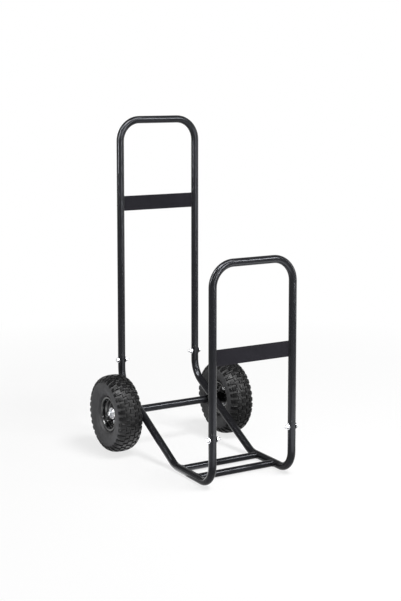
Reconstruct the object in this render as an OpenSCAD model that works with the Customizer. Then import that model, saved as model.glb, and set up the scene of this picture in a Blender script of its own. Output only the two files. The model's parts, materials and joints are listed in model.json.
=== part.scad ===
// Fireside cart: two bent-tube hoops stand on a pair of cradle rails, and the sloping
// rear part of the rails sits on an axle with two pneumatic wheels.
// X runs across the cart, Y from the front hoop towards the handle, and Z up.
// The origin is on the floor, in the middle of the bounding box.
// All lengths are in millimetres and all angles in degrees.

/* [Tube] */
// Outside diameter of the frame tube
tube_d = 25.4; // [24.4:0.2:26.4]
// Wall thickness of every tube
tube_wall = 1.5; // [1.2:0.1:1.8]
// Centreline radius of the hoops' upper corners
hoop_bend = 73; // [65:1:82]
// Centreline radius of the rails' front corners
toe_bend = 64; // [56:1:72]
// Centreline radius of the two bends in the rear of the rails
heel_bend = 80; // [70:1:82]
// Outside diameter of the cross bars between the rails
bar_d = 22; // [18:1:23]

/* [Frame] */
// Distance between the centrelines of the left and right tubes
track = 294; // [286:1:300]
// Distance from the front hoop's plane to the handle's plane
hoop_gap = 611; // [600:1:620]
// Overall height of the handle
handle_h = 1130.5; // [1050:0.5:1250]
// Overall height of the front hoop
front_h = 713.5; // [600:0.5:800]
// Height of the seam between the front hoop and the rails
front_seam = 178.5; // [160:0.5:220]
// Height of the seam between the handle and the rails
rear_seam = 306; // [305:1:360]
// Slope of the rails over the axle
slope = 27.5; // [26:0.5:29]
// Distance from the front hoop's plane to the front cross bar
front_bar_back = 98; // [88:1:120]
// Distance from the front hoop's plane to the middle cross bar
middle_bar_back = 196; // [170:1:205]

/* [Cross plates] */
// Height of both cross plates from edge to edge
plate_h = 51; // [40:1:60]
// Thickness of both cross plates
plate_t = 2.5; // [1.5:0.5:4]
// Height of the handle plate's middle above the floor
handle_plate_z = 831.5; // [700:0.5:950]
// Height of the front plate's middle above the floor
front_plate_z = 411.5; // [300:0.5:500]

/* [Joints] */
// Depth to which each hoop leg is pushed into its rail
spigot_len = 45; // [40:1:46]
// Height of the thick shoulder where a leg is reduced to its spigot
shoulder_h = 8; // [5:1:12]
// Distance from a seam down to the bolt through the joint
bolt_drop = 19.5; // [16:0.5:24]
// Diameter of the joint bolts and the rim bolts
bolt_d = 8; // [6:1:8]
// Distance across the flats of the hexagon heads and nuts
hex_af = 13; // [12:0.5:14]
// Diameter of the washers on the joint bolts
washer_d = 20; // [16:1:22]

/* [Axle] */
// Distance from the front hoop's plane back to the axle
axle_back = 517; // [510:1:520]
// Diameter of the axle rod
axle_d = 16; // [14:1:16]
// Length of the axle rod
axle_len = 490; // [488:1:494]
// Length of the sleeve around the axle rod
sleeve_len = 336; // [324:1:336]
// Thickness of the brackets that join the rails to the sleeve
bracket_t = 5; // [3:1:6]
// Gap between the rails and the sleeve, bridged by the brackets
bracket_gap = 2; // [1:0.5:3]

/* [Wheels] */
// Diameter of the tyre over the tread
tyre_d = 260; // [256:1:264]
// Width of the tyre across its sidewalls
tyre_w = 90; // [86:1:90]
// Distance from the cart's middle to each tyre's middle plane
wheel_x = 218; // [218:1:219]
// Radius of the rim at the tip of its flange
flange_r = 59.3; // [58.5:0.1:60]
// Depth of the tread pattern
tread_depth = 3.5; // [2.5:0.5:4]
// Number of tread lugs around the tyre
lug_count = 34; // [24:2:36]
// Diameter of the hub tube
hub_d = 40; // [39:0.5:41]
// Distance of the outer bearing's face outside the tyre's middle plane
hub_out = 15; // [14:0.5:15]
// Distance of the inner bearing's face inside the tyre's middle plane
hub_in = 46.3; // [46:0.1:46.3]
// Number of bolts that hold the two rim halves together
rim_bolt_count = 4; // [3:1:5]
// Radius of the circle of rim bolts
rim_bolt_r = 31; // [30:0.5:32]

/* [Hidden] */
$fn = 72;
tube_r = tube_d / 2;
spigot_r = tube_r - tube_wall - 0.15;
bolt_clear = 0.2;
axle_clear = 0.2;
run_clear = 0.05;
axle_z = tyre_d / 2;
front_y = -(axle_back + tyre_d / 2 - tube_r) / 2;
rear_y = front_y + hoop_gap;
axle_y = front_y + axle_back;
// Perpendicular distance from the axle to the sloping tubes' centrelines
rail_lift = tube_d + bracket_gap;
// Distance behind the front hoop at which the floor line and the slope would meet
heel_back = axle_back - (axle_z + rail_lift / cos(slope) - tube_r) / tan(slope);
// Height at which the slope would meet the handle's plane
slope_top = tube_r + (hoop_gap - heel_back) * tan(slope);
heel_tan = heel_bend * tan(slope / 2);
rise_tan = heel_bend * tan((90 - slope) / 2);
hex_r = hex_af / sqrt(3);
// Chamfer on both sides of each seam, which leaves a groove around the joint
seam_edge = 0.8;
rail_lap = 0.4;
lap_step = 0.01;
nut_h = 6.5;
head_h = 5.3;
washer_t = 1.6;
sheet_t = 2;
axle_washer_t = 3;
// Distance from the cart's middle to each cotter pin, and the pin's diameter
pin_x = wheel_x + hub_out + axle_washer_t + 2.2;
pin_d = 3;
bearing_d = 35;
bearing_flange_d = 39;
bearing_flange_t = 1.5;
bearing_len = 12;
valve_d = 7.5;
valve_r = 36;
valve_at = 7.5;
valve_end = 24;
// Tyre section: two half superellipses that meet at the radius of the widest part,
// one up to the crown under the tread, and one down towards the rim
section_mid = 95;
crown_h = tyre_d / 2 - tread_depth - section_mid;
crown_power = 2.4;
foot_h = 48;
foot_power = 1.7;
casing_t = 6.5;
// Gap between the casing and the inner tube, and the tube's radius at the rim
tube_gap = casing_t + 1;
tube_in_r = 60;
section_step = 9;
bead_a = 45;
lug_part = 0.64;
// Inner face of the rim's flange, measured from the tyre's middle plane
flange_z = 25.5;

// Flat ring between two radii
module ring(outer_r, inner_r) {
    difference() {
        circle(outer_r);
        circle(inner_r);
    }
}

// Tube that starts along +Z and bends towards +X; each step is [run, bend radius, bend angle].
// With a lap, each straight run laps over the bends beside it and is a hair thicker than they are.
module bent_tube(steps, lap = 0, i = 0) {
    run = steps[i][0];
    radius = steps[i][1];
    angle = steps[i][2];
    lap_in = i > 0 ? lap : 0;
    lap_out = angle > 0 ? lap : 0;
    skin = lap > 0 ? lap_step : 0;
    translate([0, 0, -lap_in])
        linear_extrude(run + lap_in + lap_out)
            ring(tube_r, tube_r - tube_wall);
    if (angle > 0)
        translate([0, 0, run]) {
            translate([radius, 0, 0])
                rotate([90, 0, 0])
                    rotate([0, 0, 180 - angle])
                        rotate_extrude(angle = angle)
                            translate([radius, 0])
                                ring(tube_r - skin, tube_r - tube_wall + skin);
            translate([radius * (1 - cos(angle)), 0, radius * sin(angle)])
                rotate([0, angle, 0])
                    bent_tube(steps, lap, i + 1);
        }
}

// Reduced lower end of a hoop leg, with its shoulder standing on the seam at z = 0
module spigot() {
    bore_r = spigot_r - tube_wall;
    rotate_extrude()
        polygon([
            [bore_r, 0],
            [tube_r - seam_edge, 0],
            [tube_r, seam_edge],
            [tube_r, shoulder_h],
            [bore_r, shoulder_h]
        ]);
    translate([0, 0, -spigot_len])
        linear_extrude(spigot_len)
            ring(spigot_r, bore_r);
}

// Space above the chamfer on the outer edge of a tube that ends upwards at z = 0
module end_chamfer() {
    rotate_extrude()
        polygon([
            [tube_r - seam_edge - 1, 1],
            [tube_r + 1, 1],
            [tube_r + 1, -seam_edge - 1]
        ]);
}

// Space for a bolt across the whole frame, below a seam
module joint_hole(y, seam) {
    translate([0, y, seam - bolt_drop])
        rotate([0, 90, 0])
            cylinder(h = track + 2 * tube_d, r = bolt_d / 2 + bolt_clear, center = true);
}

// Inverted U of tube whose two legs end in spigots at the seam
module hoop(y, height, seam) {
    leg = height - tube_r - hoop_bend - seam - shoulder_h;
    bar = track - 2 * hoop_bend;
    difference() {
        translate([0, y, seam]) {
            translate([-track / 2, 0, shoulder_h])
                bent_tube([[leg, hoop_bend, 90], [bar, hoop_bend, 90], [leg, 0, 0]]);
            for (side = [-1, 1])
                translate([side * track / 2, 0, 0])
                    spigot();
        }
        joint_hole(y, seam);
    }
}

module handle_hoop() {
    color("dimgray")
        hoop(rear_y, handle_h, rear_seam);
}

module front_hoop() {
    color("slategray")
        hoop(front_y, front_h, front_seam);
}

// Flat bar between the two legs of a hoop
module cross_plate(y, z) {
    translate([0, y, z])
        cube([track - tube_d, plate_t, plate_h], center = true);
}

module handle_plate() {
    color("darkslategray")
        cross_plate(rear_y, handle_plate_z);
}

module front_plate() {
    color("darkslategray")
        cross_plate(front_y, front_plate_z);
}

// Cradle rail: down from the front seam, back along the floor, up the slope, up to the rear seam
module base_rail(side) {
    down = front_seam - tube_r - toe_bend;
    floor_run = heel_back - heel_tan - toe_bend;
    slope_run = (hoop_gap - heel_back) / cos(slope) - heel_tan - rise_tan;
    up = rear_seam - slope_top - rise_tan;
    difference() {
        translate([side * track / 2, front_y, front_seam])
            rotate([180, 0, 90])
                bent_tube([[down, toe_bend, 90], [floor_run, heel_bend, slope],
                    [slope_run, heel_bend, 90 - slope], [up, 0, 0]], rail_lap);
        for (place = [[front_y, front_seam], [rear_y, rear_seam]]) {
            joint_hole(place[0], place[1]);
            translate([side * track / 2, place[0], place[1]])
                end_chamfer();
        }
    }
}

module base_rail_left() {
    color("steelblue")
        base_rail(-1);
}

module base_rail_right() {
    color("steelblue")
        base_rail(1);
}

// Tube between the rails at floor level, with its ends shaped to the rails
module cross_bar(back) {
    translate([0, front_y + back, tube_r])
        difference() {
            rotate([0, 90, 0])
                linear_extrude(track, center = true)
                    ring(bar_d / 2, bar_d / 2 - tube_wall);
            for (side = [-1, 1])
                translate([side * track / 2, 0, 0])
                    rotate([90, 0, 0])
                        cylinder(h = 2 * bar_d, r = tube_r, center = true);
        }
}

module front_cross_bar() {
    color("teal")
        cross_bar(front_bar_back);
}

module middle_cross_bar() {
    color("teal")
        cross_bar(middle_bar_back);
}

// Places children on the axle line, with +Z pointing to the given side
module on_axle(side) {
    translate([0, axle_y, axle_z])
        rotate([0, side * 90, 0])
            children();
}

module axle_sleeve() {
    color("cadetblue")
        on_axle(1)
            linear_extrude(sleeve_len, center = true)
                ring(tube_r, axle_d / 2 + axle_clear);
}

// Plate welded under a sloping rail, with the sleeve through its lower end
module axle_bracket(side) {
    half_w = 45;
    foot_w = 17;
    foot_z = -8;
    eye_r = tube_r + 6.5;
    top = tube_r + bracket_gap;
    translate([side * track / 2, axle_y, axle_z])
        rotate([90, 0, 90])
            rotate([0, 0, slope])
                linear_extrude(bracket_t, center = true)
                    difference() {
                        union() {
                            polygon([[-half_w, top], [-foot_w, foot_z], [foot_w, foot_z], [half_w, top]]);
                            intersection() {
                                circle(eye_r);
                                translate([-eye_r, -eye_r])
                                    square([2 * eye_r, eye_r + top]);
                            }
                        }
                        circle(tube_r + run_clear);
                    }
}

module axle_bracket_left() {
    color("darkcyan")
        axle_bracket(-1);
}

module axle_bracket_right() {
    color("darkcyan")
        axle_bracket(1);
}

module axle_rod() {
    color("silver")
        difference() {
            on_axle(1)
                cylinder(h = axle_len, r = axle_d / 2, center = true);
            for (side = [-1, 1])
                translate([side * pin_x, axle_y, axle_z])
                    cylinder(h = 2 * axle_d, r = pin_d / 2 + run_clear, center = true);
        }
}

// Hexagon prism with its flats facing up and down, standing on z = 0
module hexagon(height) {
    cylinder(h = height, r = hex_r, $fn = 6);
}

// Places children at each of the four frame joints, with +Z pointing outwards along the bolt
module at_joints() {
    for (place = [[front_y, front_seam], [rear_y, rear_seam]])
        for (side = [-1, 1])
            translate([side * track / 2, place[0], place[1] - bolt_drop])
                rotate([0, side * 90, 0])
                    children();
}

module joint_bolts() {
    grip_out = tube_r + washer_t;
    tail = tube_r + washer_t + nut_h + 7;
    color("gainsboro")
        at_joints() {
            translate([0, 0, grip_out])
                hexagon(head_h);
            translate([0, 0, -tail])
                cylinder(h = tail + grip_out, r = bolt_d / 2);
        }
}

module joint_washers() {
    color("lightgray")
        at_joints()
            for (z = [tube_r, -tube_r - washer_t])
                translate([0, 0, z])
                    linear_extrude(washer_t)
                        ring(washer_d / 2, bolt_d / 2 + bolt_clear);
}

module joint_nuts() {
    color("gainsboro")
        at_joints()
            translate([0, 0, -tube_r - washer_t - nut_h])
                difference() {
                    hexagon(nut_h);
                    translate([0, 0, -1])
                        cylinder(h = nut_h + 2, r = bolt_d / 2 + run_clear);
                }
}

// Pair of washers around the axle rod, starting at a distance from the cart's middle
module axle_washers(start, outer_d) {
    for (side = [-1, 1])
        on_axle(side)
            translate([0, 0, start])
                linear_extrude(axle_washer_t - 0.3)
                    ring(outer_d / 2, axle_d / 2 + axle_clear);
}

module axle_inner_washers() {
    color("silver")
        axle_washers(sleeve_len / 2 + 0.1, 30);
}

module axle_outer_washers() {
    color("silver")
        axle_washers(wheel_x + hub_out + 0.4, 32);
}

// Pins through the ends of the axle rod, each with an eye at its upper end
module cotter_pins() {
    reach = axle_d / 2 + 4;
    eye_r = 3.4;
    color("white")
        for (side = [-1, 1])
            translate([side * pin_x, axle_y, axle_z]) {
                translate([0, 0, -reach])
                    cylinder(h = 2 * reach, r = pin_d / 2);
                translate([0, 0, reach + eye_r])
                    rotate([0, 90, 0])
                        rotate_extrude()
                            translate([eye_r, 0])
                                circle(0.9);
            }
}

// Places children at a wheel's middle, with +Z along the axle and away from the cart
module at_wheel(side) {
    on_axle(side)
        translate([0, 0, wheel_x])
            children();
}

// Point of the tyre's section at an angle from its widest part, moved in from its outside
function section_point(angle, inset = 0) =
    let (
        is_crown = sin(angle) > 0,
        half_h = (is_crown ? crown_h : foot_h) - inset,
        power = 2 / (is_crown ? crown_power : foot_power)
    ) [
        section_mid + half_h * sign(sin(angle)) * pow(abs(sin(angle)), power),
        (tyre_w / 2 - inset) * sign(cos(angle)) * pow(abs(cos(angle)), power)
    ];

// Radius of the tyre's crown at a distance from the middle plane, moved in from its outside
function crown_radius(z, inset = 0) =
    section_mid + (crown_h - inset)
        * pow(1 - pow(abs(z) / (tyre_w / 2 - inset), crown_power), 1 / crown_power);

// Casing between its outer and inner outlines, closed by a bead at each side
module casing_section() {
    outer = [for (a = [-bead_a : section_step : 180 + bead_a]) section_point(a)];
    inner = [for (a = [180 + bead_a : -section_step : -bead_a]) section_point(a, casing_t)];
    bead_in = 12;
    bead_out = flange_z - 3.7;
    bead_r = 51;
    side_r = flange_r + 0.5;
    side_z = flange_z - 0.5;
    polygon(concat(
        [[bead_r, bead_in], [bead_r, bead_out], [side_r, side_z]],
        outer,
        [[side_r, -side_z], [bead_r, -bead_out], [bead_r, -bead_in]],
        inner
    ));
}

// Rows of lugs across the tread, rooted in the casing. Each row is the places of its edges
// across the tyre, and their drops from its full radius.
module lug_section() {
    root_depth = casing_t / 3;
    rows = [[-8, 8, 0, 0], [11, 23, 0.4, 1.4], [26, 36, 3.2, 10]];
    for (row = rows, side = [-1, 1])
        if (side > 0 || row[0] > 0)
            polygon([
                [crown_radius(row[0], root_depth), side * row[0]],
                [tyre_d / 2 - row[2], side * row[0]],
                [tyre_d / 2 - row[3], side * row[1]],
                [crown_radius(row[1], root_depth), side * row[1]]
            ]);
}

module tyre(side) {
    pitch = 360 / lug_count;
    color([0.2, 0.2, 0.2])
        at_wheel(side) {
            rotate_extrude()
                casing_section();
            for (i = [0 : lug_count - 1])
                rotate([0, 0, (i - lug_part / 2) * pitch])
                    rotate_extrude(angle = pitch * lug_part)
                        lug_section();
        }
}

// Outline of the inner tube at a depth in its wall, flat where it lies against the rim
function tube_outline(depth) = [
    for (a = [0 : section_step : 359])
        let (p = section_point(a, tube_gap + depth)) [max(p[0], tube_in_r + depth), p[1]]
];

module inner_tube(side) {
    color("black")
        at_wheel(side)
            rotate_extrude()
                difference() {
                    polygon(tube_outline(0));
                    polygon(tube_outline(2));
                }
}

// Pressed half of the rim; z = 0 is the plane in which the two halves meet
module rim_half() {
    bore_r = hub_d / 2 + run_clear;
    drum_r = 46;
    seat_r = 50.8;
    lip = flange_z;
    rotate_extrude()
        polygon([
            [bore_r, 0.05],
            [drum_r - sheet_t, 0.05],
            [drum_r, sheet_t],
            [drum_r, 12],
            [seat_r, 15],
            [seat_r, lip - 3],
            [seat_r + sheet_t, lip],
            [flange_r, lip],
            [flange_r, lip + sheet_t],
            [seat_r + 1, lip + sheet_t],
            [seat_r - sheet_t, lip - 1.5],
            [seat_r - sheet_t, 16],
            [drum_r - sheet_t, 13],
            [drum_r - sheet_t, 2 * sheet_t],
            [drum_r - 2 * sheet_t, sheet_t + 0.05],
            [bore_r, sheet_t + 0.05]
        ]);
}

// Direction of the valve, midway between two rim bolts and mirrored from side to side
function valve_turn(side) = 90 - side * (90 - 180 / rim_bolt_count);

// Places children around the circle of rim bolts
module around_rim() {
    for (i = [0 : rim_bolt_count - 1])
        rotate([0, 0, i * 360 / rim_bolt_count])
            translate([rim_bolt_r, 0, 0])
                children();
}

module rim_outer_half(side) {
    color("dimgray")
        at_wheel(side)
            difference() {
                rim_half();
                around_rim()
                    cylinder(h = 4 * sheet_t, r = bolt_d / 2 + bolt_clear, center = true);
                rotate([0, 0, valve_turn(side)])
                    translate([valve_r, 0, valve_at])
                        rotate([0, 90, 0])
                            cylinder(h = 12, r = valve_d / 2 + 0.3);
            }
}

module rim_inner_half(side) {
    color("gray")
        at_wheel(side)
            difference() {
                mirror([0, 0, 1])
                    rim_half();
                around_rim()
                    cylinder(h = 4 * sheet_t, r = bolt_d / 2 + bolt_clear, center = true);
            }
}

module hub(side) {
    color("lightgray")
        at_wheel(side)
            translate([0, 0, bearing_flange_t - hub_in])
                linear_extrude(hub_in + hub_out - 2 * bearing_flange_t)
                    ring(hub_d / 2, bearing_d / 2 + run_clear);
}

// Flanged ball bearing whose outer face is z = 0 and whose body lies below it
module bearing() {
    bore_r = axle_d / 2 + run_clear;
    inner_race_r = bore_r + 2.5;
    outer_race_r = bearing_d / 2 - 2.5;
    seal_z = -0.8;
    rotate_extrude()
        polygon([
            [bore_r, 0],
            [inner_race_r, 0],
            [inner_race_r, seal_z],
            [outer_race_r, seal_z],
            [outer_race_r, 0],
            [bearing_flange_d / 2, 0],
            [bearing_flange_d / 2, -bearing_flange_t],
            [bearing_d / 2, -bearing_flange_t],
            [bearing_d / 2, -bearing_len],
            [bore_r, -bearing_len]
        ]);
}

module outer_bearing(side) {
    color("silver")
        at_wheel(side)
            translate([0, 0, hub_out])
                bearing();
}

module inner_bearing(side) {
    color("silver")
        at_wheel(side)
            translate([0, 0, -hub_in])
                rotate([180, 0, 0])
                    bearing();
}

module rim_bolts(side) {
    seat = sheet_t + 0.05;
    color("gainsboro")
        at_wheel(side)
            around_rim() {
                translate([0, 0, seat])
                    hexagon(head_h);
                translate([0, 0, -seat - nut_h - 2])
                    cylinder(h = 2 * seat + nut_h + 2, r = bolt_d / 2);
            }
}

module rim_nuts(side) {
    color("gainsboro")
        at_wheel(side)
            around_rim()
                translate([0, 0, -sheet_t - 0.05 - nut_h])
                    difference() {
                        hexagon(nut_h);
                        translate([0, 0, -1])
                            cylinder(h = nut_h + 2, r = bolt_d / 2 + run_clear);
                    }
}

// Stem that comes inwards from the inner tube through the rim and turns outwards
module valve_stem(side) {
    root_gap = 0.15;
    color("black")
        at_wheel(side)
            rotate([0, 0, valve_turn(side)]) {
                translate([valve_r, 0, valve_at])
                    rotate([0, 90, 0])
                        cylinder(h = tube_in_r - root_gap - valve_r, r = valve_d / 2 - 0.3);
                translate([valve_r, 0, valve_at - valve_d / 2])
                    cylinder(h = valve_end - valve_at + valve_d / 2, r = valve_d / 2);
            }
}

module valve_cap(side) {
    cap_h = 9;
    wall = 1.4;
    color("black")
        at_wheel(side)
            rotate([0, 0, valve_turn(side)])
                translate([valve_r, 0, valve_end - cap_h + wall])
                    difference() {
                        cylinder(h = cap_h, r = valve_d / 2 + wall);
                        translate([0, 0, -1])
                            cylinder(h = cap_h - wall + 1.1, r = valve_d / 2 + run_clear);
                    }
}

handle_hoop();
handle_plate();
front_hoop();
front_plate();
base_rail_left();
base_rail_right();
front_cross_bar();
middle_cross_bar();
axle_sleeve();
axle_bracket_left();
axle_bracket_right();
axle_rod();
joint_bolts();
joint_washers();
joint_nuts();
axle_inner_washers();
axle_outer_washers();
cotter_pins();
tyre(-1);  // tyre_left
inner_tube(-1);  // inner_tube_left
rim_outer_half(-1);  // rim_outer_half_left
rim_inner_half(-1);  // rim_inner_half_left
hub(-1);  // hub_left
outer_bearing(-1);  // outer_bearing_left
inner_bearing(-1);  // inner_bearing_left
rim_bolts(-1);  // rim_bolts_left
rim_nuts(-1);  // rim_nuts_left
valve_stem(-1);  // valve_stem_left
valve_cap(-1);  // valve_cap_left
tyre(1);  // tyre_right
inner_tube(1);  // inner_tube_right
rim_outer_half(1);  // rim_outer_half_right
rim_inner_half(1);  // rim_inner_half_right
hub(1);  // hub_right
outer_bearing(1);  // outer_bearing_right
inner_bearing(1);  // inner_bearing_right
rim_bolts(1);  // rim_bolts_right
rim_nuts(1);  // rim_nuts_right
valve_stem(1);  // valve_stem_right
valve_cap(1);  // valve_cap_right
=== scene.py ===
"""Fireside cart: detailed pieces, materials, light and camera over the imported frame.

X runs across the cart, Y from the front hoop towards the handle, and Z up, with the
origin on the floor. Shapes are worked out in millimetres and stored in metres.
"""
import json
import math

import bmesh
import bpy
from mathutils import Matrix, Vector

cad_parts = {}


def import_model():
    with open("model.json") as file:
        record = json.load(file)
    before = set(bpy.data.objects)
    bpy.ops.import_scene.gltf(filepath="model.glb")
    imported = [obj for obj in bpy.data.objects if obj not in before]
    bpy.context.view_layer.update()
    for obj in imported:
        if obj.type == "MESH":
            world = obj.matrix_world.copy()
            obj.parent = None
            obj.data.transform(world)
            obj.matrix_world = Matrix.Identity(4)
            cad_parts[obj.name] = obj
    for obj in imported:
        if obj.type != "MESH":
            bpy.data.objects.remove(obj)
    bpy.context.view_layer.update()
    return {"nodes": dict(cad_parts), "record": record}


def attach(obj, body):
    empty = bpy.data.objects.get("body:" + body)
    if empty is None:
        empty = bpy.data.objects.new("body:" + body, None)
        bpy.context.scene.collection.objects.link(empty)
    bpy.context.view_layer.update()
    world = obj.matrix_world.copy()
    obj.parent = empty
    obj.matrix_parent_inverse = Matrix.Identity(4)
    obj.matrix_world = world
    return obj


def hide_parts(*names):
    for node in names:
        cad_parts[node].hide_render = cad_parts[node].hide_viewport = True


MM = 0.001
SIDES = {"left": -1, "right": 1}

# Places and sizes that the pieces share with the frame
TUBE_R = 12.7
TRACK = 294.0
FRONT_Y = -317.15
REAR_Y = 293.85
AXLE_Y = 199.85
AXLE_Z = 130.0
SLOPE = math.radians(27.5)
BAR_R = 11.0
BAR_BACKS = (98.0, 196.0)
PLATES = {"front_plate": (FRONT_Y, 411.5), "handle_plate": (REAR_Y, 831.5)}
PLATE_H = 51.0
PLATE_T = 2.5

# Bolted joints of the tubes: their bolts' Y and Z, and how far the tubes' seam is above them
JOINTS = ((FRONT_Y, 159.0), (REAR_Y, 286.5))
SEAM_RISE = 19.5
BOLT_R = 4.0
BOLT_PAST_NUT = 7.0
HEX_AF = 13.0
HEAD_H = 5.3
NUT_H = 6.5
NUT_BORE_R = 3.7
WASHER_R = 10.0
WASHER_T = 1.6
WASHER_PLAY = 0.2

# Axle rod and what holds the wheels on it
ROD_R = 8.0
ROD_LEN = 490.0
SLEEVE_LEN = 336.0
PIN_X = 238.2
AXLE_WASHER_T = 2.7

# Wheels, in radii from the axle and heights above the wheel's middle, outwards from the cart
WHEEL_X = 218.0
TYRE_HALF_W = 45.0
SECTION_MID = 95.0
CROWN_H = 31.5
FOOT_H = 48.0
CASING_T = 6.5
LUGS = 34
HUB_OUT = 15.0
HUB_IN = 46.3
HUB_WELD_R = 20.9
HUB_WELD_Z = 2.6
RIM_T = 2.0
RIM_PLATE_Z = 1.05
RIM_SEAT = RIM_PLATE_Z + RIM_T / 2
RIM_BOLTS = 4
RIM_BOLT_R = 31.0
RIM_BOLT_PAST_NUT = 2.0
VALVE_R = 36.0
VALVE_Z = 7.5
VALVE_END = 24.0

# Angles in degrees above which an edge stays sharp, by the kind of piece
CREASE = 32
HEX_CREASE = 25
TYRE_CREASE = 28
BENT_CREASE = 50
ROUND_CREASE = 60
PLATE_CREASE = 12


# ---------------------------------------------------------------- mesh helpers

def shift(x, y, z):
    return Matrix.Translation((x, y, z))


def turn(degrees, axis):
    return Matrix.Rotation(math.radians(degrees), 4, axis)


FLIP = turn(180, "X")


def outwards(x, y, z, side):
    """Place whose local +Z points along X, away from the cart's middle."""
    return shift(x, y, z) @ turn(90 * side, "Y")


def as_function(size):
    """A size that may vary along a line or a ring, from a number or a function of the index."""
    return size if callable(size) else (lambda i: size)


def circle(place, radius, height, count):
    """Points around local Z; radius is a number or a function of the point's index."""
    size = as_function(radius)
    points = []
    for i in range(count):
        a = 2 * math.pi * i / count
        r = size(i)
        points.append(place @ Vector((r * math.cos(a), r * math.sin(a), height)))
    return points


def ring_of(bm, points):
    return [bm.verts.new(p) for p in points]


def skin(bm, rings, close_rows=False, material=0):
    """Quads between rings of the same count; each ring is closed on itself."""
    count = len(rings[0])
    pairs = list(zip(rings, rings[1:]))
    if close_rows:
        pairs.append((rings[-1], rings[0]))
    for a, b in pairs:
        for i in range(count):
            j = (i + 1) % count
            bm.faces.new((a[i], a[j], b[j], b[i])).material_index = material


def solid(bm, rings, loop):
    """Closed surface over rows of points: the rows form a loop, or else both ends get a face."""
    rings = [ring_of(bm, points) for points in rings]
    skin(bm, rings, close_rows=loop)
    if not loop:
        bm.faces.new(rings[0])
        bm.faces.new(rings[-1])


def lathe(bm, profile, place, segments, share=1, loop=True):
    """Turns a profile of (radius, height) about local Z; share scales each segment's radius."""
    scale = as_function(share)
    rings = [circle(place, lambda i: radius * scale(i), height, segments)
             for radius, height in profile]
    solid(bm, rings, loop)


def sweep(bm, points, radius, sides, loop=False):
    """Round bar along points; radius is a number or a function of the point's index."""
    pts = [Vector(p) for p in points]
    count = len(pts)
    size = as_function(radius)
    normal = None
    rings = []
    for i, p in enumerate(pts):
        before = pts[i - 1] if loop or i > 0 else p
        after = pts[(i + 1) % count] if loop or i < count - 1 else p
        along = (after - before).normalized()
        if normal is None:
            normal = along.orthogonal().normalized()
        normal = (normal - along * normal.dot(along)).normalized()
        other = along.cross(normal)
        r = size(i)
        ring = []
        for k in range(sides):
            a = 2 * math.pi * k / sides
            ring.append(p + normal * (r * math.cos(a)) + other * (r * math.sin(a)))
        rings.append(ring)
    solid(bm, rings, loop)


def weld_bead(bm, points, radius, loop=False):
    """Rippled bead of weld along closely spaced points."""
    ripples = (1.16, 0.94, 1.0)
    sweep(bm, points, lambda i: radius * ripples[i % len(ripples)], 8, loop)


def straight(start, end):
    """Points from start to end, as close together as a weld bead's ripples."""
    step = 1.1
    start, end = Vector(start), Vector(end)
    count = max(2, int((end - start).length / step))
    return [start.lerp(end, i / count) for i in range(count + 1)]


def hex_radius(angle, apothem):
    """Distance from the middle of a hexagon to its outline, at an angle."""
    return apothem / math.cos((angle + math.pi / 6) % (math.pi / 3) - math.pi / 6)


def hexagon(bm, place, height, bore=0.0):
    """Bolt head, or nut with a bore, whose corners are chamfered at the top."""
    segments = 72
    apothem = HEX_AF / 2
    crown = apothem * 0.96
    chamfer = math.tan(math.radians(30))
    lead_in = 0.6
    dish_r, dish_depth = crown * 0.82, 0.25
    low, edge = [], []
    for i in range(segments):
        a = 2 * math.pi * i / segments
        r = hex_radius(a, apothem)
        x, y = r * math.cos(a), r * math.sin(a)
        low.append(place @ Vector((x, y, 0)))
        edge.append(place @ Vector((x, y, height - (r - crown) * chamfer)))
    rings = [low, edge, circle(place, crown, height, segments)]
    if bore:
        rings += [circle(place, bore + lead_in, height, segments),
                  circle(place, bore, height - lead_in, segments),
                  circle(place, bore, 0, segments)]
    else:
        rings.append(circle(place, dish_r, height - dish_depth, segments))
    solid(bm, rings, loop=bool(bore))


def thread(bm, place, length):
    """Threaded shank that ends in a chamfer at local z = length."""
    pitch, depth = 1.25, 0.6
    chamfer_len, chamfer_in = 1.2, 1.1
    segments = 24
    steps = int(length / pitch * 6)
    rings = []
    for k in range(steps + 1):
        z = length * k / steps
        end = min(1.0, (length - z) / chamfer_len)

        def thread_radius(i):
            wave = abs(((z / pitch - i / segments) % 1) * 2 - 1)
            return min(BOLT_R - depth * wave, BOLT_R - chamfer_in * (1 - end))

        rings.append(circle(place, thread_radius, z, segments))
    solid(bm, rings, loop=False)


def washer(bm, place, outer, inner, thick):
    """Flat washer with a worn edge, standing on local z = 0."""
    e = 0.3
    lathe(bm, [(inner, 0), (outer - e, 0), (outer, e), (outer, thick - e),
               (outer - e, thick), (inner + e, thick), (inner, thick - e)], place, 48)


def add_piece(name, build, body, materials, replaced, crease=CREASE):
    """Makes a piece from build(bm), which draws in millimetres."""
    bm = bmesh.new()
    build(bm)
    bmesh.ops.remove_doubles(bm, verts=bm.verts, dist=1e-5)
    bmesh.ops.recalc_face_normals(bm, faces=bm.faces)
    bmesh.ops.scale(bm, vec=(MM, MM, MM), verts=bm.verts)
    mesh = bpy.data.meshes.new(name)
    bm.to_mesh(mesh)
    bm.free()
    for polygon in mesh.polygons:
        polygon.use_smooth = True
    mesh.set_sharp_from_angle(angle=math.radians(crease))
    for material in materials if isinstance(materials, tuple) else (materials,):
        mesh.materials.append(material)
    piece = bpy.data.objects.new(name, mesh)
    bpy.context.scene.collection.objects.link(piece)
    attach(piece, body)
    if replaced:
        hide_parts(*replaced)


# ------------------------------------------------------------------- materials

# Colour sockets of Blender's Mix node: its two inputs and its result
MIX_A = 6
MIX_B = 7
MIX_RESULT = 2

# Distances from the axle, in metres, between which the sidewall's rubber turns dark, as painted shade
# on the casing between the tread blocks
TREAD_START = (0.107, 0.117)


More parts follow.
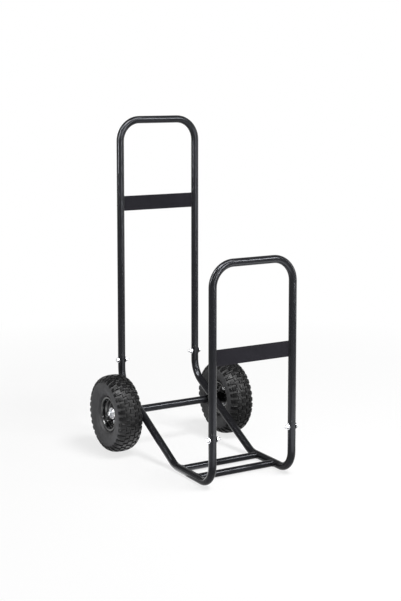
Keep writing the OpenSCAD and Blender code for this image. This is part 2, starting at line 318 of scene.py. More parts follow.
class Shader:
    """A Principled material with a few short ways to add nodes."""

    def __init__(self, name, **values):
        self.material = bpy.data.materials.new(name)
        self.material.use_nodes = True
        self.nodes = self.material.node_tree.nodes
        self.links = self.material.node_tree.links
        self.main = self.nodes["Principled BSDF"]
        for key, value in values.items():
            self.main.inputs[key.replace("_", " ")].default_value = value
        self.place = self.nodes.new("ShaderNodeTexCoord").outputs["Object"]

    def noise(self, scale, detail, roughness=0.55):
        node = self.nodes.new("ShaderNodeTexNoise")
        node.inputs["Scale"].default_value = scale
        node.inputs["Detail"].default_value = detail
        node.inputs["Roughness"].default_value = roughness
        self.links.new(self.place, node.inputs["Vector"])
        return node.outputs["Fac"]

    def spread(self, factor, low, high, start=0.3, end=0.7):
        """Maps a factor between start and end to the range low to high."""
        node = self.nodes.new("ShaderNodeMapRange")
        for key, value in (("From Min", start), ("From Max", end), ("To Min", low), ("To Max", high)):
            node.inputs[key].default_value = value
        self.links.new(factor, node.inputs["Value"])
        return node.outputs["Result"]

    def blend(self, factor, first, second):
        """Mixes two colours, each a tuple or a socket."""
        node = self.nodes.new("ShaderNodeMix")
        node.data_type = "RGBA"
        self.links.new(factor, node.inputs["Factor"])
        for index, colour in ((MIX_A, first), (MIX_B, second)):
            if isinstance(colour, tuple):
                node.inputs[index].default_value = (*colour, 1)
            else:
                self.links.new(colour, node.inputs[index])
        return node.outputs[MIX_RESULT]

    def multiply(self, first, second):
        node = self.nodes.new("ShaderNodeMath")
        node.operation = "MULTIPLY"
        self.links.new(first, node.inputs[0])
        self.links.new(second, node.inputs[1])
        return node.outputs[0]

    def vector_math(self, operation, vector, other=None):
        node = self.nodes.new("ShaderNodeVectorMath")
        node.operation = operation
        self.links.new(vector, node.inputs[0])
        if other:
            node.inputs[1].default_value = other
        return node.outputs["Value" if operation == "LENGTH" else "Vector"]

    def axle_distance(self):
        """Distance of a point from the axle line, in metres."""
        from_axle = self.vector_math("ADD", self.place, (0, -AXLE_Y * MM, -AXLE_Z * MM))
        flat = self.vector_math("MULTIPLY", from_axle, (0, 1, 1))
        return self.vector_math("LENGTH", flat)

    def bump(self, height, strength, distance):
        node = self.nodes.new("ShaderNodeBump")
        node.inputs["Strength"].default_value = strength
        node.inputs["Distance"].default_value = distance
        self.links.new(height, node.inputs["Height"])
        if self.main.inputs["Normal"].is_linked:
            before = self.main.inputs["Normal"].links[0].from_socket
            self.links.new(before, node.inputs["Normal"])
        self.links.new(node.outputs["Normal"], self.main.inputs["Normal"])

    def set(self, key, socket):
        self.links.new(socket, self.main.inputs[key])


def powder_coat(name, dark, light, rough, gloss=0.135, scratches=True):
    """Baked powder paint: a fine grain, faint cloudiness and a few rubbed spots."""
    s = Shader(name, Specular_IOR_Level=gloss, Specular_Tint=(0.89, 0.92, 1.0, 1.0))
    cloud = s.noise(9, 3)
    colour = s.blend(s.spread(cloud, 0, 1), dark, light)
    if scratches:
        rubbed = s.spread(s.noise(46, 9, 0.72), 0, 0.3, 0.70, 0.78)
        worn = tuple(2.5 * v for v in light)
        colour = s.blend(rubbed, colour, worn)
    s.set("Base Color", colour)
    s.set("Roughness", s.spread(s.noise(60, 5), rough - 0.01, rough + 0.02))
    s.bump(s.noise(900, 2), 0.04, 0.0002)
    s.bump(s.noise(140, 2), 0.006, 0.0004)
    return s.material


def plated_steel(name, dark, light, rough):
    """Plated or turned steel: uneven tint, and fine marks from tools."""
    s = Shader(name, Metallic=1.0)
    s.set("Base Color", s.blend(s.spread(s.noise(220, 3), 0, 1), dark, light))
    s.set("Roughness", s.spread(s.noise(500, 4), rough - 0.06, rough + 0.1))
    s.bump(s.noise(1500, 2), 0.10, 0.0001)
    return s.material


def gloss_enamel(name, dark, light, rough):
    """Sprayed enamel on pressed steel, with a little orange peel and dust."""
    s = Shader(name, Coat_Weight=0.65, Coat_Roughness=0.06, Specular_IOR_Level=0.22)
    dusty = s.spread(s.noise(70, 6, 0.65), 0, 0.5, 0.55, 0.8)
    s.set("Base Color", s.blend(dusty, dark, light))
    s.set("Roughness", s.spread(s.noise(30, 3), rough, rough + 0.1))
    s.bump(s.noise(420, 1), 0.06, 0.0003)
    return s.material


def rubber(name, dark, light, rough, grain, gloss=0.4, groove_shade=None):
    """Moulded rubber: matt, uneven in tone, with a fine leathery grain.

    With a colour for painted shade in the grooves, the rubber turns to it beyond the radius at which
    the tread starts.
    """
    s = Shader(name, Specular_IOR_Level=gloss)
    tone = s.blend(s.spread(s.noise(24, 5, 0.6), 0, 1), dark, light)
    if groove_shade:
        # Painted shade: the casing turns dark between the tread blocks
        tone = s.blend(s.spread(s.axle_distance(), 0, 1, *TREAD_START), tone, groove_shade)
    s.set("Base Color", tone)
    s.set("Roughness", s.spread(s.noise(90, 4), rough - 0.06, rough + 0.08))
    s.bump(s.noise(grain, 3), 0.18, 0.0003)
    return s.material


FRAME_PAINT = powder_coat("frame_powder_coat", (0.010, 0.0100, 0.0115), (0.015, 0.015, 0.017), 0.18)
PLATE_PAINT = powder_coat("plate_powder_coat", (0.011, 0.0102, 0.0130), (0.014, 0.0132, 0.0165), 0.2,
                          gloss=0.08)
WELD_PAINT = powder_coat("weld_powder_coat", (0.010, 0.010, 0.0115), (0.015, 0.015, 0.017), 0.42,
                         scratches=False)
RIM_PAINT = gloss_enamel("rim_enamel", (0.005, 0.005, 0.0055), (0.013, 0.013, 0.0135), 0.18)
ZINC = plated_steel("zinc_plate", (0.45, 0.46, 0.485), (0.62, 0.62, 0.63), 0.26)
BEARING = plated_steel("bearing_steel", (0.70, 0.70, 0.71), (0.84, 0.84, 0.84), 0.24)
# Dark steel that stands for painted shade in the rod's end holes and in the tube seams
PAINTED_SHADE_STEEL = plated_steel("painted_shade_steel", (0.012, 0.012, 0.012), (0.03, 0.03, 0.03), 0.5)
# Sidewall rubber; on the casing under the tread it turns to painted shade in the grooves
SIDEWALL_RUBBER = rubber("sidewall_rubber", (0.026, 0.026, 0.028), (0.040, 0.040, 0.0425), 0.66, 700,
                         gloss=0.26, groove_shade=(0.004, 0.004, 0.0042))
# Tops of the tread blocks, far darker than the sidewall's rubber: painted shade on the tread
SHADED_TREAD_RUBBER = rubber("shaded_tread_rubber", (0.004, 0.004, 0.0042), (0.010, 0.010, 0.0105), 0.33, 500,
                      gloss=0.09)
# Darkest rubber for the blocks' walls and feet: painted shade in the grooves
SHADED_GROOVE_RUBBER = rubber("shaded_groove_rubber", (0.003, 0.003, 0.0032), (0.006, 0.006, 0.0063), 0.8, 500,
                       gloss=0.05)
SOFT_RUBBER = rubber("valve_rubber", (0.016, 0.016, 0.016), (0.025, 0.025, 0.025), 0.5, 1200)
CAP_PLASTIC = rubber("cap_plastic", (0.014, 0.014, 0.015), (0.02, 0.02, 0.02), 0.38, 1600)


# ----------------------------------------------------------------------- tyres

# The tyre's section is two half superellipses, and these shape its crown and its foot
CROWN_POWER = 2 / 2.4
FOOT_POWER = 2 / 1.7
# Section angles at which the outside of the casing starts and ends, at the beads
CASING_ENDS = (-40, 220)
# Section angles of the casing's inside, from the inner bead back to the outer one
INSIDE_ANGLES = range(225, -46, -9)
# Bead of the tyre, seated on the rim: radius and height from its toe to the sidewall
BEAD = ((51, 12), (51, 21.8), (57.8, 24.2), (62.8, 25.4), (64.4, 29.4))
# Raised rings of the sidewall: section angle, width in degrees and height
SIDEWALL_RINGS = ((-38, 3.0, 0.7), (-27, 1.6, 0.35), (-22, 1.6, 0.35), (14, 2.4, 0.4))

# Rows of blocks: section angles, turning phase and share of the pitch, heights and slant
TREAD_ROWS = (
    (83.6, 96.4, 0.0, 0.64, 3.5, 3.5, 0.0),
    (66.0, 80.5, 0.5, 0.66, 3.6, 3.5, 1.2),
    (40.0, 62.5, 0.0, 0.60, 3.6, 3.9, 0.0),
    (21.0, 39.0, 0.0, 0.52, 2.3, 3.6, 0.0),
)
# Places of the block materials in the tyre's list of materials; the walls take the darker rubber of
# painted shade
BLOCK_TOP = 1
SHADED_BLOCK_WALL = 2


def section_point(t, inset=0.0):
    """Point (radius, height) of the tyre's section at angle t, moved in from its outside.

    t = 90 is the crown and t = 0 the widest part of the outer side.
    """
    c, s = math.cos(math.radians(t)), math.sin(math.radians(t))
    half_h, power = (CROWN_H, CROWN_POWER) if s > 0 else (FOOT_H, FOOT_POWER)
    return Vector((SECTION_MID + (half_h - inset) * math.copysign(abs(s) ** power, s),
                   (TYRE_HALF_W - inset) * math.copysign(abs(c) ** power, c)))


def tyre_point(t, lift=0.0):
    """(radius, height) on the casing at section angle t, moved out along its normal."""
    p = section_point(t)
    if lift:
        along = (section_point(t + 0.5) - section_point(t - 0.5)).normalized()
        p += Vector((-along.y, along.x)) * lift
    return p.x, p.y


def sidewall_lift(t):
    """Height of the sidewall's rings at section angle t, symmetric about the crown."""
    s = t if t <= 90 else 180 - t
    return sum(height * math.exp(-((s - centre) / width) ** 2)
               for centre, width, height in SIDEWALL_RINGS)


def casing(bm, place):
    """Closed shell of the tyre; its widest rings stay within the tyre's width."""
    steps = 190
    first, last = CASING_ENDS
    room = TYRE_HALF_W - 0.02
    outer = []
    for i in range(steps + 1):
        t = first + (last - first) * i / steps
        radius, height = tyre_point(t, sidewall_lift(t))
        outer.append((radius, max(-room, min(room, height))))
    inner = [tuple(section_point(t, CASING_T)) for t in INSIDE_ANGLES]
    profile = list(BEAD) + outer + [(r, -z) for r, z in reversed(BEAD)] + inner
    lathe(bm, profile, place, 4 * LUGS)


def tread_block(bm, place, t0, t1, a0, a1, h0, h1, slant):
    """One moulded block between two section angles and two turning angles, in degrees.

    h0 and h1 are its heights at t0 and t1; its top edges are chamfered, and its foot
    is sunk into the casing and spreads there.
    """
    nt, na = 4, 3
    chamfer = 0.7
    shoulder_share = 0.8
    foot_depth, foot_spread = 0.8, 0.5
    tall = (Vector(tyre_point(t1)) - Vector(tyre_point(t0))).length

    def corner(u, v, lift, inset):
        radius, _ = tyre_point(t0 + (t1 - t0) * u, lift)
        wide = math.radians(a1 - a0) * radius
        u = 0.5 + (u - 0.5) * (1 - 2 * inset / tall)
        v = 0.5 + (v - 0.5) * (1 - 2 * inset / wide)
        radius, height = tyre_point(t0 + (t1 - t0) * u, lift)
        a = math.radians(a0 + (a1 - a0) * v + slant * (u - 0.5))
        return place @ Vector((radius * math.cos(a), radius * math.sin(a), height))

    def level(rise, inset):
        """Grid at a share of the block's height, or at a depth below the casing if negative."""
        grid = []
        for i in range(nt + 1):
            u = i / nt
            lift = rise if rise < 0 else rise * (h0 + (h1 - h0) * u)
            grid.append([corner(u, j / na, lift, inset) for j in range(na + 1)])
        return grid

    def border(grid):
        line = [grid[0][j] for j in range(na)]
        line += [grid[i][na] for i in range(nt)]
        line += [grid[nt][j] for j in range(na, 0, -1)]
        line += [grid[i][0] for i in range(nt, 0, -1)]
        return line

    top = [ring_of(bm, row) for row in level(1.0, chamfer)]
    for i in range(nt):
        for j in range(na):
            corners = (top[i][j], top[i][j + 1], top[i + 1][j + 1], top[i + 1][j])
            bm.faces.new(corners).material_index = BLOCK_TOP
    shoulder = ring_of(bm, border(level(shoulder_share, 0.0)))
    foot = ring_of(bm, border(level(-foot_depth, -foot_spread)))
    skin(bm, [border(top), shoulder], material=BLOCK_TOP)
    # Painted shade: the blocks' walls and feet take the darker rubber
    skin(bm, [shoulder, foot], material=SHADED_BLOCK_WALL)
    bm.faces.new(foot).material_index = SHADED_BLOCK_WALL


def tread(bm, place):
    """Rows of blocks around the tyre; each row beside the crown has its mirror image."""
    pitch = 360 / LUGS
    for t0, t1, phase, share, h0, h1, slant in TREAD_ROWS:
        for i in range(LUGS):
            a0 = (i + phase - share / 2) * pitch
            a1 = a0 + share * pitch
            tread_block(bm, place, t0, t1, a0, a1, h0, h1, slant)
            if t1 < 90:
                tread_block(bm, place, 180 - t1, 180 - t0, a0, a1, h1, h0, slant)


# ------------------------------------------------------- rims, hubs and valves

# Centreline of a pressed rim half: hub collar, bolt plate, drum, bead seat and rolled flange
RIM_LINE = ((21.1, 3.6), (21.6, RIM_PLATE_Z), (39.0, RIM_PLATE_Z), (43.6, 4.6), (45.4, 11.4),
            (49.0, 14.6), (49.8, 16.4), (50.0, 22.6), (51.4, 27.5), (54.4, 28.7), (57.2, 28.4),
            (58.5, 26.4))
RIM_BEND_R = 2.2

# Bearing sections below the bearing's outer face: flanged outer ring, inner ring, and the seal
BEARING_BORE = ROD_R + 0.05
OUTER_RING = ((14.6, -0.3), (15.0, 0), (19.1, 0), (19.5, -0.4), (19.5, -1.5), (17.5, -1.5),
              (17.5, -12), (14.6, -12))
INNER_RING = ((BEARING_BORE + 0.3, 0), (10.8, 0), (11.1, -0.3), (11.1, -12), (BEARING_BORE, -12),
              (BEARING_BORE, -0.3))
SEAL = ((11.2, -0.9), (12.2, -0.7), (12.6, -1.0), (13.4, -1.0), (13.8, -0.7), (14.5, -0.9),
        (14.5, -1.9), (11.2, -1.9))

# Valve: where it leaves the tyre and the rim, its rubber foot there, and its cap
VALVE_ROOT_R = 59.9
VALVE_FOOT_R = 42.6
VALVE_FOOT = ((3.0, 0), (5.2, 0), (5.4, 0.5), (4.2, 1.6), (3.6, 4.0), (3.0, 4.0))
CAP_GRIP = 7.6
CAP = ((3.8, 0), (5.0, 0), (5.15, 0.4), (5.15, 6.6), (4.9, 8.2), (4.0, 8.9), (0.2, 9.0),
       (0.2, CAP_GRIP), (3.8, CAP_GRIP))


def fillet(points, radius, steps=5):
    """Rounds the inner corners of an open line of 2D points."""
    line = [Vector(points[0])]
    most = 0.45
    for a, b, c in zip(points, points[1:], points[2:]):
        a, b, c = Vector(a), Vector(b), Vector(c)
        cut = min(radius, (b - a).length * most, (c - b).length * most)
        start = b + (a - b).normalized() * cut
        end = b + (c - b).normalized() * cut
        for k in range(steps + 1):
            s = k / steps
            line.append(start * (1 - s) ** 2 + b * 2 * s * (1 - s) + end * s ** 2)
    line.append(Vector(points[-1]))
    return line


def sheet_section(points, thick, radius):
    """Closed outline of bent sheet metal around an open centreline, with a rounded far end."""
    line = fillet(points, radius)
    left, right = [], []
    for i, p in enumerate(line):
        along = (line[min(i + 1, len(line) - 1)] - line[max(i - 1, 0)]).normalized()
        side = Vector((-along.y, along.x)) * thick / 2
        left.append(p + side)
        right.append(p - side)
    bulge = 0.35
    tip = line[-1] + (line[-1] - line[-2]).normalized() * thick * bulge
    return [tuple(p) for p in left] + [tuple(tip)] + [tuple(p) for p in reversed(right)]


def rim_half(bm, place, flip):
    profile = [(r, flip * z) for r, z in sheet_section(RIM_LINE, RIM_T, RIM_BEND_R)]
    lathe(bm, profile, place, 128)


def around_rim(place):
    """Places of the rim's bolts."""
    return [place @ turn(i * 360 / RIM_BOLTS, "Z") @ shift(RIM_BOLT_R, 0, 0)
            for i in range(RIM_BOLTS)]


def valve_place(place, side):
    """The wheel's place turned so that local +X points at its valve, between two rim bolts."""
    return place @ turn(90 - side * (90 - 180 / RIM_BOLTS), "Z")


def valve_stem(bm, place, side):
    """Stem that comes in from the tyre's foot, then bends outwards, with a foot at the rim."""
    spot = valve_place(place, side)
    corners = ((VALVE_ROOT_R, VALVE_Z), (VALVE_R, VALVE_Z), (VALVE_R, VALVE_END - 4))
    bend = fillet(corners, 7, 10)
    run = 8
    straight_part = [(bend[0].x - k * (bend[0].x - bend[1].x) / run, VALVE_Z) for k in range(run)]
    line = straight_part + [tuple(p) for p in bend[1:]]
    thick, thin = 3.4, 3.1
    sweep(bm, [spot @ Vector((r, 0, z)) for r, z in line],
          lambda i: thick if i < run + 4 else thin, 20)
    lathe(bm, VALVE_FOOT, spot @ shift(VALVE_FOOT_R, 0, VALVE_Z) @ turn(-90, "Y"), 32)


def cap_ribs(i):
    """Share of the cap's radius on its ribs and in the grooves between them."""
    return 1.0 if i % 4 < 2 else 0.945


def valve_cap(bm, place, side):
    top = valve_place(place, side) @ shift(VALVE_R, 0, VALVE_END - CAP_GRIP)
    lathe(bm, CAP, top, 80, cap_ribs)


def build_wheel(name, side):
    body = f"wheel_{name}"
    place = outwards(side * WHEEL_X, AXLE_Y, AXLE_Z, side)
    bearings_at = (place @ shift(0, 0, HUB_OUT), place @ shift(0, 0, -HUB_IN) @ FLIP)

    def tyre(bm):
        casing(bm, place)
        tread(bm, place)

    def bolts(bm):
        """Bolts with a thin round flange under their heads, just sunk into the rim's paint."""
        flange_r, flange_t, sunk = 7.4, 0.6, 0.02
        length = 2 * RIM_SEAT + NUT_H + RIM_BOLT_PAST_NUT
        for spot in around_rim(place):
            washer(bm, spot @ shift(0, 0, RIM_SEAT - sunk), flange_r, BOLT_R - 0.1, flange_t)
            hexagon(bm, spot @ shift(0, 0, RIM_SEAT + 0.5), HEAD_H - 0.5)
            thread(bm, spot @ FLIP @ shift(0, 0, -RIM_SEAT), length)

    def nuts(bm):
        for spot in around_rim(place):
            hexagon(bm, spot @ FLIP @ shift(0, 0, RIM_SEAT), NUT_H, NUT_BORE_R)

    def bearings(bm):
        for face in bearings_at:
            lathe(bm, OUTER_RING, face, 72)
            lathe(bm, INNER_RING, face, 72)

    def seals(bm):
        for face in bearings_at:
            lathe(bm, SEAL, face, 72)

    def welds(bm):
        """Beads between the hub tube and the collars of both rim halves."""
        for z in (HUB_WELD_Z, -HUB_WELD_Z):
            weld_bead(bm, circle(place, HUB_WELD_R, z, 84), 1.5, loop=True)

    add_piece(f"moulded_tyre_{name}", tyre, body, (SIDEWALL_RUBBER, SHADED_TREAD_RUBBER, SHADED_GROOVE_RUBBER),
              (f"tyre_{name}",), TYRE_CREASE)
    add_piece(f"pressed_rim_outer_{name}", lambda bm: rim_half(bm, place, 1), body, RIM_PAINT,
              (f"rim_outer_half_{name}",), BENT_CREASE)
    add_piece(f"pressed_rim_inner_{name}", lambda bm: rim_half(bm, place, -1), body, RIM_PAINT,
              (f"rim_inner_half_{name}",), BENT_CREASE)
    add_piece(f"hub_welds_{name}", welds, body, RIM_PAINT, (), ROUND_CREASE)
    add_piece(f"bearing_rings_{name}", bearings, body, BEARING,
              (f"outer_bearing_{name}", f"inner_bearing_{name}"))
    add_piece(f"bearing_seals_{name}", seals, body, SOFT_RUBBER, ())
    add_piece(f"rim_hex_bolts_{name}", bolts, body, ZINC, (f"rim_bolts_{name}",), HEX_CREASE)
    add_piece(f"rim_hex_nuts_{name}", nuts, body, ZINC, (f"rim_nuts_{name}",), HEX_CREASE)
    add_piece(f"bent_valve_{name}", lambda bm: valve_stem(bm, place, side), body, SOFT_RUBBER,
              (f"valve_stem_{name}",), BENT_CREASE)
    add_piece(f"ribbed_cap_{name}", lambda bm: valve_cap(bm, place, side), body, CAP_PLASTIC,
              (f"valve_cap_{name}",))


# ----------------------------------------------------------------------- frame

# Section of the dark ring of painted shade in the gap between a hoop and its rail
SEAM_SHADE = ((11.9, -1.3), (12.72, -1.3), (12.2, 0), (12.72, 1.3), (11.9, 1.3))


def joint_places():
    """Each bolted tube joint, with local +Z outwards along its bolt."""
    return [outwards(side * TRACK / 2, y, z, side) for y, z in JOINTS for side in SIDES.values()]


def joint_bolts(bm):
    grip = TUBE_R + WASHER_T
    for place in joint_places():
        hexagon(bm, place @ shift(0, 0, grip), HEAD_H)
        thread(bm, place @ FLIP @ shift(0, 0, -grip), 2 * grip + NUT_H + BOLT_PAST_NUT)


def joint_washers(bm):
    for place in joint_places():
        for z in (TUBE_R, -TUBE_R - WASHER_T):
            washer(bm, place @ shift(0, 0, z), WASHER_R, BOLT_R + WASHER_PLAY, WASHER_T)


def joint_nuts(bm):
    for place in joint_places():
        inwards = place @ FLIP @ shift(0, 0, TUBE_R + WASHER_T)
        hexagon(bm, inwards, NUT_H, NUT_BORE_R)


def seam_shade_rings(bm):
    """Dark rings of painted shade in the gaps where the hoops meet the rails."""
    for y, z in JOINTS:
        for side in SIDES.values():
            lathe(bm, SEAM_SHADE, shift(side * TRACK / 2, y, z + SEAM_RISE), 64)


def axle_washers(bm, x, outer):
    """A washer on either end of the rod, from x outwards."""
    for side in SIDES.values():
        place = outwards(0, AXLE_Y, AXLE_Z, side) @ shift(0, 0, x)
        washer(bm, place, outer, ROD_R + WASHER_PLAY, AXLE_WASHER_T)


def inner_washers(bm):
    axle_washers(bm, SLEEVE_LEN / 2 + 0.1, 15)


def outer_washers(bm):
    axle_washers(bm, WHEEL_X + HUB_OUT + 0.4, 16)


def axle_rod(bm):
    """Rod with chamfered ends, each with a drilled hole."""
    half = ROD_LEN / 2
    end = [(0.3, half - 10), (3.4, half - 8), (3.5, half - 0.4), (3.9, half), (6.8, half),
           (ROD_R, half - 1.2)]
    profile = [(r, -z) for r, z in end] + list(reversed(end))
    lathe(bm, profile, outwards(0, AXLE_Y, AXLE_Z, 1), 48, loop=False)


def rod_bore_shades(bm):
    """Dark lining of the holes in the rod's ends: painted shade inside the holes."""
    half = ROD_LEN / 2
    lining = [(0.2, half - 9.6), (3.1, half - 7.8), (3.1, half - 0.3), (3.45, half - 0.3),
              (3.42, half - 8), (0.3, half - 9.9)]
    for side in SIDES.values():
        lathe(bm, lining, outwards(0, AXLE_Y, AXLE_Z, side), 36)


def cotter_pins(bm):
    """Split pins: two legs side by side, an eye above the rod, and tips spread below it."""
    wire = 0.72
    reach = ROD_R + 4
    eye_r = 3.4
    eye_steps = 20
    down = [(wire, reach - k * 3.0) for k in range(8)]
    tip = [(wire + 3.2 * math.sin(a), -reach + 1.8 - 2.4 * math.cos(a - 0.5))
           for a in (0.35, 0.7, 1.05, 1.4)]
    leg = down + tip
    eye = []
    for k in range(1, eye_steps):
        a = math.radians(-62 + 304 * k / eye_steps)
        eye.append((eye_r * math.cos(a), reach + 3.6 + eye_r * math.sin(a)))
    line = [(-y, z) for y, z in reversed(leg)] + list(reversed(eye)) + leg
    for side in SIDES.values():
        place = shift(side * PIN_X, AXLE_Y, AXLE_Z)
        sweep(bm, [place @ Vector((0, y, z)) for y, z in line], wire, 10)


def plate(bm, y, z):
    """Flat bar with the small radius of its rolled edges, whose ends run into the tubes."""
    sunk = 0.6
    edge_r = 0.6
    size = (TRACK - 2 * TUBE_R + 2 * sunk, PLATE_T, PLATE_H)
    made = bmesh.ops.create_cube(bm, size=1.0)
    bmesh.ops.scale(bm, vec=size, verts=made["verts"])
    bmesh.ops.bevel(bm, geom=list(bm.edges), offset=edge_r, segments=3, affect="EDGES", profile=0.5)
    bmesh.ops.translate(bm, vec=(0, y, z), verts=bm.verts)


def plate_welds(bm):
    """Upright beads on both faces of each plate's ends."""
    half = PLATE_H / 2 - 1.5
    out = 1.9
    for y, z in PLATES.values():
        for side in SIDES.values():
            x = side * (TRACK / 2 - TUBE_R + 0.1)
            for face in (-1, 1):
                bead_y = y + face * out
                weld_bead(bm, straight((x, bead_y, z - half), (x, bead_y, z + half)), 1.25)


def bar_welds(bm):
    """Beads where the cross bars meet the rails, on the line in which the tubes cross."""
    count = 66
    r = BAR_R + 0.3
    for back in BAR_BACKS:
        for side in SIDES.values():
            points = []
            for i in range(count):
                a = 2 * math.pi * i / count
                x = TRACK / 2 - math.sqrt(TUBE_R ** 2 - (r * math.sin(a)) ** 2) - 0.3
                points.append((side * x, FRONT_Y + back + r * math.cos(a), TUBE_R + r * math.sin(a)))
            weld_bead(bm, points, 1.2, loop=True)


def bracket_welds(bm):
    """Beads on both faces of each bracket: along its upper edge by the rail, and around the sleeve."""
    up = Vector((0, -math.sin(SLOPE), math.cos(SLOPE)))
    along = Vector((0, math.cos(SLOPE), math.sin(SLOPE)))
    middle = Vector((0, AXLE_Y, AXLE_Z))
    half_length = 42
    out = 3.0
    count = 72
    for side in SIDES.values():
        for face in (-1, 1):
            across = Vector((side * TRACK / 2 + face * out, 0, 0))
            top = middle + across + up * (TUBE_R + 1.9)
            weld_bead(bm, straight(top - along * half_length, top + along * half_length), 1.5)
            ring = []
            for i in range(count):
                a = 2 * math.pi * i / count
                spoke = along * math.cos(a) + up * math.sin(a)
                ring.append(middle + across + spoke * (TUBE_R + 0.5))
            weld_bead(bm, ring, 1.3, loop=True)


def build_frame():
    add_piece("hex_bolts", joint_bolts, "frame", ZINC, ("joint_bolts",), HEX_CREASE)
    add_piece("flat_washers", joint_washers, "frame", ZINC, ("joint_washers",))
    add_piece("hex_nuts", joint_nuts, "frame", ZINC, ("joint_nuts",), HEX_CREASE)
    add_piece("hub_washers_inner", inner_washers, "frame", ZINC, ("axle_inner_washers",))
    add_piece("hub_washers_outer", outer_washers, "frame", ZINC, ("axle_outer_washers",))
    add_piece("turned_axle_rod", axle_rod, "frame", ZINC, ("axle_rod",))
    # Dark linings of painted shade in the rod's end holes
    add_piece("rod_bore_shades", rod_bore_shades, "frame", PAINTED_SHADE_STEEL, ())
    add_piece("split_pins", cotter_pins, "frame", ZINC, ("cotter_pins",), ROUND_CREASE)
    for node, (y, z) in PLATES.items():
        add_piece(f"rolled_{node}", lambda bm: plate(bm, y, z), "frame", PLATE_PAINT, (node,),
                  PLATE_CREASE)
    # Dark rings of painted shade in the tube seams
    add_piece("seam_shade_rings", seam_shade_rings, "frame", PAINTED_SHADE_STEEL, ())
    for name, build in (("plate_welds", plate_welds), ("bar_welds", bar_welds),
                        ("bracket_welds", bracket_welds)):
        add_piece(name, build, "frame", WELD_PAINT, (), ROUND_CREASE)


SLOT_MATERIALS = {
    "frame_paint": FRAME_PAINT,
    "plate_paint": PLATE_PAINT,
    "rim_paint": RIM_PAINT,
    "zinc": ZINC,
    "bearing_steel": BEARING,
    "tyre_rubber": SIDEWALL_RUBBER,
    "tube_rubber": SOFT_RUBBER,
    "cap_plastic": CAP_PLASTIC,
}


def dress_cad(loaded):
    """Gives every carried-over CAD node the material of its slot."""
    for part in loaded["record"]["subparts"]:
        node = loaded["nodes"][part["node"]]
        material = SLOT_MATERIALS[part["material_slot"]]
        for place in node.material_slots:
            place.material = material


# ----------------------------------------------------------------------- stage

# Light that the white surround gives to surfaces, the floor's grey, and half its width in metres
WORLD_LIGHT = 0.28
FLOOR_COLOUR = 0.92
FLOOR_HALF = 30
# The floor's glow hides its shadows: the glow's share under the cart, and the distances
# in metres over which it grows to 1
SHADOW_FADE = 0.76
SHADOW_REACH = (0.6, 2.4)
# Sines of the elevations between which the surround dims, and what is left of it above them
CEILING_START = 0.30
CEILING_END = 0.62
CEILING_SHARE = 0.25

# Lamps around the cart's middle: bearing from the front hoop's side, elevation, distance,
# width, height, power, and whether the lamp lights surfaces or only shows in glossy ones
CART_MIDDLE = Vector((0, 0, 0.6))
LAMPS = {
    "key": (25, 62, 3.2, 1.3, 1.3, 125, True),
    "front_right": (37, 31, 3.2, 0.8, 0.5, 80, False),
    "overhead": (-44, 65, 3.0, 1.4, 1.2, 230, False),
    "left_strip": (-95, 33, 1.37, 0.12, 1.3, 58, False),
    "front_strip": (11, 10, 2.9, 0.26, 1.8, 85, False),
    "right_strip": (64, 2, 2.6, 0.25, 1.8, 20, False),
    "front_bar": (-12, 23.6, 3.12, 3.6, 0.15, 75, False),
}

# Light that comes back from the floor before the cart, to its left, and in front of the
# left wheel: middle, size and power
BOUNCES = (
    ((0.30, -0.92, 0.004), (1.2, 0.74), 11),
    ((-0.80, -0.20, 0.004), (0.8, 0.9), 3.0),
    ((-0.27, -0.02, 0.004), (0.5, 0.30), 1.1),
)

# Camera: its place in metres, angles in degrees, and the photograph's long side, focal
# length and horizon row in pixels
CAMERA_PLACE = (-2.02455, -3.42992, 1.25242)
CAMERA_AZIMUTH = -30.522
CAMERA_PITCH = 6.0
SENSOR_MM = 36
LONG_SIDE_PX = 601
FOCAL_PX = 1219.99
HORIZON_PX = 208.41


def unlit(nodes, links):
    """1 for the rays that should find a white surround: camera, glossy and transmission rays."""
    path = nodes.new("ShaderNodeLightPath")
    result = path.outputs["Is Camera Ray"]
    for kind in ("Is Glossy Ray", "Is Transmission Ray"):
        either = nodes.new("ShaderNodeMath")
        either.operation = "MAXIMUM"
        links.new(result, either.inputs[0])
        links.new(path.outputs[kind], either.inputs[1])
        result = either.outputs[0]
    return result


def floor_material():
    """White floor that glows to the eye, so that only a soft part of each shadow is left."""
    paint = Shader("floor_white", Roughness=0.9, Specular_IOR_Level=0.0)
    nodes, links = paint.nodes, paint.links
    grey = paint.spread(paint.noise(3, 2), FLOOR_COLOUR - 0.01, FLOOR_COLOUR)
    paint.set("Base Color", grey)
    glow = nodes.new("ShaderNodeEmission")
    distance = paint.vector_math("LENGTH", paint.place)
    share = paint.spread(distance, SHADOW_FADE, 1.0, *SHADOW_REACH)
    amount = paint.multiply(share, unlit(nodes, links))
    mix = nodes.new("ShaderNodeMixShader")
    links.new(amount, mix.inputs["Fac"])
    links.new(paint.main.outputs[0], mix.inputs[1])
    links.new(glow.outputs[0], mix.inputs[2])
    links.new(mix.outputs[0], nodes["Material Output"].inputs["Surface"])
    return paint.material


def build_floor():
    bm = bmesh.new()
    bmesh.ops.create_grid(bm, x_segments=1, y_segments=1, size=FLOOR_HALF)
    mesh = bpy.data.meshes.new("floor")
    bm.to_mesh(mesh)
    bm.free()
    floor = bpy.data.objects.new("floor", mesh)
    bpy.context.scene.collection.objects.link(floor)
    mesh.materials.append(floor_material())


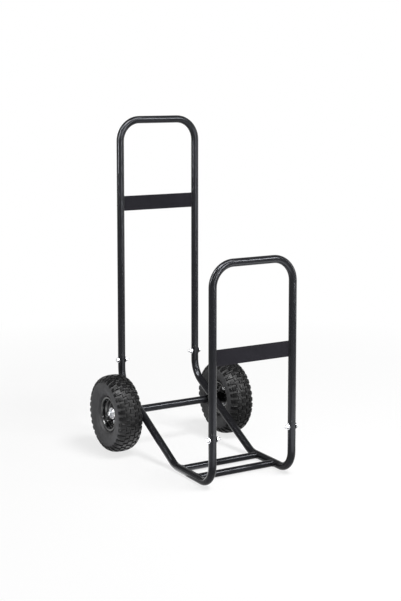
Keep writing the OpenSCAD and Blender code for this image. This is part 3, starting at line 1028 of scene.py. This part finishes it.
def build_surround():
    """White to the eye and in reflections, dimmer overhead, and a faint light on surfaces."""
    world = bpy.data.worlds.new("surround")
    bpy.context.scene.world = world
    world.use_nodes = True
    nodes, links = world.node_tree.nodes, world.node_tree.links
    background = nodes["Background"]
    background.inputs["Color"].default_value = (1, 1, 1, 1)
    heading = nodes.new("ShaderNodeSeparateXYZ")
    links.new(nodes.new("ShaderNodeTexCoord").outputs["Generated"], heading.inputs[0])
    wall = nodes.new("ShaderNodeMapRange")
    for key, value in (("From Min", CEILING_START), ("From Max", CEILING_END),
                       ("To Min", 1.0), ("To Max", CEILING_SHARE)):
        wall.inputs[key].default_value = value
    links.new(heading.outputs["Z"], wall.inputs["Value"])
    strength = nodes.new("ShaderNodeMapRange")
    strength.inputs["To Min"].default_value = WORLD_LIGHT
    links.new(wall.outputs["Result"], strength.inputs["To Max"])
    links.new(unlit(nodes, links), strength.inputs["Value"])
    links.new(strength.outputs["Result"], background.inputs["Strength"])


def add_lamp(name, location, away, size, power, lights):
    """Rectangular lamp, unseen by the camera, whose back is turned towards away."""
    data = bpy.data.lights.new(name, "AREA")
    data.shape = "RECTANGLE"
    data.size, data.size_y = size
    data.energy = power
    lamp = bpy.data.objects.new(name, data)
    lamp.location = location
    lamp.rotation_euler = away.to_track_quat("Z", "Y").to_euler()
    lamp.visible_diffuse = lights
    lamp.visible_camera = False
    bpy.context.scene.collection.objects.link(lamp)


def add_lamps():
    for name, (bearing, elevation, distance, wide, tall, power, lights) in LAMPS.items():
        b, e = math.radians(bearing), math.radians(elevation)
        away = Vector((math.sin(b) * math.cos(e), -math.cos(b) * math.cos(e), math.sin(e)))
        add_lamp(name, CART_MIDDLE + away * distance, away, (wide, tall), power, lights)
    for index, (place, size, power) in enumerate(BOUNCES):
        add_lamp(f"bounce_{index}", place, Vector((0, 0, -1)), size, power, True)


def add_camera():
    """Camera at the photograph's angle; the lens is set by the frame's long side."""
    azimuth, pitch = math.radians(CAMERA_AZIMUTH), math.radians(CAMERA_PITCH)
    data = bpy.data.cameras.new("camera")
    data.sensor_width = SENSOR_MM
    data.lens = FOCAL_PX / LONG_SIDE_PX * SENSOR_MM
    data.shift_y = -(LONG_SIDE_PX / 2 - HORIZON_PX) / LONG_SIDE_PX
    camera = bpy.data.objects.new("camera", data)
    camera.location = CAMERA_PLACE
    look = Vector((-math.sin(azimuth) * math.cos(pitch), math.cos(azimuth) * math.cos(pitch),
                   -math.sin(pitch)))
    camera.rotation_euler = look.to_track_quat("-Z", "Y").to_euler()
    bpy.context.scene.collection.objects.link(camera)
    bpy.context.scene.camera = camera


def main():
    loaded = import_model()
    dress_cad(loaded)
    build_frame()
    for name, side in SIDES.items():
        build_wheel(name, side)
    build_floor()
    build_surround()
    add_lamps()
    add_camera()
    bpy.context.scene.view_settings.view_transform = "Standard"


main()
